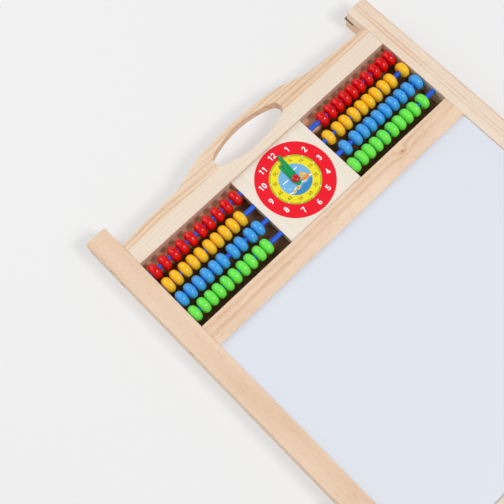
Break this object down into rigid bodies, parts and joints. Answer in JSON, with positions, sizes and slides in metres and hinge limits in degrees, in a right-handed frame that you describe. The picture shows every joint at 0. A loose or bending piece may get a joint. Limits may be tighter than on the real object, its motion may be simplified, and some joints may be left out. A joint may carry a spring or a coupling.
{
  "type": "double-sided table easel for children",
  "caption": "Folding wooden A-frame table easel with a carry handle, sliding bead abacus, toy clock with turning hands, whiteboard in front and blackboard behind.",
  "frame": {"origin": "centre of the bounding box at its bottom, on the surface that the folded easel lies on", "axes": "+X along the rails to the right as seen from the whiteboard side, +Y along the stiles towards the carrying handle, +Z out of the whiteboard"},
  "size_m": [0.4486, 0.6422, 0.035],
  "materials": {
    "pine": "fine-sanded clear-lacquered pine",
    "warm_pine": "warmer board of the same pine",
    "clock_plywood": "pale lacquered plywood",
    "dial_print": "satin printed dial",
    "whiteboard_face": "semi-gloss dry-erase face",
    "blackboard_face": "matt chalk paint on brown hardboard",
    "red_paint": "gloss",
    "yellow_paint": "gloss",
    "blue_paint": "gloss",
    "green_paint": "gloss",
    "rod_paint": "satin painted rod",
    "hand_plastic": "satin",
    "knob_plastic": "gloss",
    "plated_steel": "zinc-plated steel",
    "screw_steel": "yellowed zinc"
  },
  "bodies": {
    "rear_frame": {"rear_left_stile": "pine", "rear_right_stile": "pine", "rear_top_rail": "warm_pine", "rear_bottom_rail": "warm_pine", "blackboard": "blackboard_face", "rear_frame_screws": "screw_steel", "rear_dowels": "warm_pine", "hinge_rear_leaf_left": "plated_steel", "hinge_rear_leaf_right": "plated_steel", "hinge_pins": "plated_steel", "hinge_rear_screws": "plated_steel", "stay_pivot_screws": "plated_steel"},
    "front_frame": {"front_left_stile": "warm_pine", "front_right_stile": "pine", "handle_rail": "pine", "mid_rail": "warm_pine", "front_bottom_rail": "pine", "whiteboard": "whiteboard_face", "clock_panel": "clock_plywood", "clock_dial": "dial_print", "clock_pin": "plated_steel", "clock_knob": "knob_plastic", "clock_washer": "plated_steel", "left_rod_red": "rod_paint", "left_rod_yellow": "rod_paint", "left_rod_blue": "rod_paint", "left_rod_green": "rod_paint", "right_rod_red": "rod_paint", "right_rod_yellow": "rod_paint", "right_rod_blue": "rod_paint", "right_rod_green": "rod_paint", "front_frame_screws": "screw_steel", "front_dowels": "warm_pine", "hinge_front_leaf_left": "plated_steel", "hinge_front_leaf_right": "plated_steel", "hinge_front_screws": "plated_steel", "stay_studs": "plated_steel"},
    "hour_hand": {"hour_hand": "hand_plastic"},
    "minute_hand": {"minute_hand": "hand_plastic"},
    "left_stay": {"left_stay": "plated_steel"},
    "right_stay": {"right_stay": "plated_steel"},
    "left_bay_red_beads_left": {"left_bay_red_beads_left": "red_paint"},
    "left_bay_red_beads_right": {"left_bay_red_beads_right": "red_paint"},
    "left_bay_yellow_beads_left": {"left_bay_yellow_beads_left": "yellow_paint"},
    "left_bay_yellow_beads_right": {"left_bay_yellow_beads_right": "yellow_paint"},
    "left_bay_blue_beads_left": {"left_bay_blue_beads_left": "blue_paint"},
    "left_bay_blue_beads_right": {"left_bay_blue_beads_right": "blue_paint"},
    "left_bay_green_beads_left": {"left_bay_green_beads_left": "green_paint"},
    "left_bay_green_beads_right": {"left_bay_green_beads_right": "green_paint"},
    "right_bay_red_beads_left": {"right_bay_red_beads_left": "red_paint"},
    "right_bay_red_beads_right": {"right_bay_red_beads_right": "red_paint"},
    "right_bay_yellow_beads_left": {"right_bay_yellow_beads_left": "yellow_paint"},
    "right_bay_yellow_beads_right": {"right_bay_yellow_beads_right": "yellow_paint"},
    "right_bay_blue_beads_left": {"right_bay_blue_beads_left": "blue_paint"},
    "right_bay_blue_beads_right": {"right_bay_blue_beads_right": "blue_paint"},
    "right_bay_green_beads_left": {"right_bay_green_beads_left": "green_paint"},
    "right_bay_green_beads_right": {"right_bay_green_beads_right": "green_paint"}
  },
  "joints": [
    {"name": "frame_fold", "type": "hinge", "parent": "rear_frame", "child": "front_frame", "pos_m": [0, 0.3189, 0.0161], "axis": [-1, 0, 0], "range_deg": [0, 26]},
    {"name": "hour_hand_turn", "type": "hinge", "parent": "front_frame", "child": "hour_hand", "pos_m": [0, 0.2116, 0.0297], "axis": [0, 0, 1], "continuous": true},
    {"name": "minute_hand_turn", "type": "hinge", "parent": "front_frame", "child": "minute_hand", "pos_m": [0, 0.2116, 0.0308], "axis": [0, 0, 1], "continuous": true},
    {"name": "left_stay_swing", "type": "hinge", "parent": "rear_frame", "child": "left_stay", "pos_m": [-0.2211, -0.1061, 0.0075], "axis": [-1, 0, 0], "range_deg": [0, 111.27]},
    {"name": "right_stay_swing", "type": "hinge", "parent": "rear_frame", "child": "right_stay", "pos_m": [0.2211, -0.1061, 0.0075], "axis": [-1, 0, 0], "range_deg": [0, 111.27]},
    {"name": "left_bay_red_slide_left", "type": "slide", "parent": "front_frame", "child": "left_bay_red_beads_left", "axis": [1, 0, 0], "range_m": [-0.0011, 0.0015]},
    {"name": "left_bay_red_slide_right", "type": "slide", "parent": "left_bay_red_beads_left", "child": "left_bay_red_beads_right", "axis": [1, 0, 0], "range_m": [-0.0031, 0.0015]},
    {"name": "left_bay_yellow_slide_left", "type": "slide", "parent": "front_frame", "child": "left_bay_yellow_beads_left", "axis": [1, 0, 0], "range_m": [-0.0011, 0.0078]},
    {"name": "left_bay_yellow_slide_right", "type": "slide", "parent": "left_bay_yellow_beads_left", "child": "left_bay_yellow_beads_right", "axis": [1, 0, 0], "range_m": [-0.0016, 0.0078]},
    {"name": "left_bay_blue_slide_left", "type": "slide", "parent": "front_frame", "child": "left_bay_blue_beads_left", "axis": [1, 0, 0], "range_m": [-0.0011, 0.0048]},
    {"name": "left_bay_blue_slide_right", "type": "slide", "parent": "left_bay_blue_beads_left", "child": "left_bay_blue_beads_right", "axis": [1, 0, 0], "range_m": [-0.0041, 0.0048]},
    {"name": "left_bay_green_slide_left", "type": "slide", "parent": "front_frame", "child": "left_bay_green_beads_left", "axis": [1, 0, 0], "range_m": [-0.0001, 0.0088]},
    {"name": "left_bay_green_slide_right", "type": "slide", "parent": "left_bay_green_beads_left", "child": "left_bay_green_beads_right", "axis": [1, 0, 0], "range_m": [-0.0011, 0.0088]},
    {"name": "right_bay_red_slide_right", "type": "slide", "parent": "front_frame", "child": "right_bay_red_beads_right", "axis": [1, 0, 0], "range_m": [-0.0075, 0.0011]},
    {"name": "right_bay_red_slide_left", "type": "slide", "parent": "right_bay_red_beads_right", "child": "right_bay_red_beads_left", "axis": [1, 0, 0], "range_m": [-0.0075, 0.0016]},
    {"name": "right_bay_yellow_slide_left", "type": "slide", "parent": "front_frame", "child": "right_bay_yellow_beads_left", "axis": [1, 0, 0], "range_m": [-0.0041, 0.0043]},
    {"name": "right_bay_yellow_slide_right", "type": "slide", "parent": "front_frame", "child": "right_bay_yellow_beads_right", "axis": [1, 0, 0], "range_m": [-0.0043, 0.0006]},
    {"name": "right_bay_blue_slide_left", "type": "slide", "parent": "front_frame", "child": "right_bay_blue_beads_left", "axis": [1, 0, 0], "range_m": [-0.0086, 0.0025]},
    {"name": "right_bay_blue_slide_right", "type": "slide", "parent": "front_frame", "child": "right_bay_blue_beads_right", "axis": [1, 0, 0], "range_m": [-0.0025, 0.0006]},
    {"name": "right_bay_green_slide_left", "type": "slide", "parent": "front_frame", "child": "right_bay_green_beads_left", "axis": [1, 0, 0], "range_m": [-0.0001, 0.0068]},
    {"name": "right_bay_green_slide_right", "type": "slide", "parent": "right_bay_green_beads_left", "child": "right_bay_green_beads_right", "axis": [1, 0, 0], "range_m": [-0.0031, 0.0068]}
  ]
}
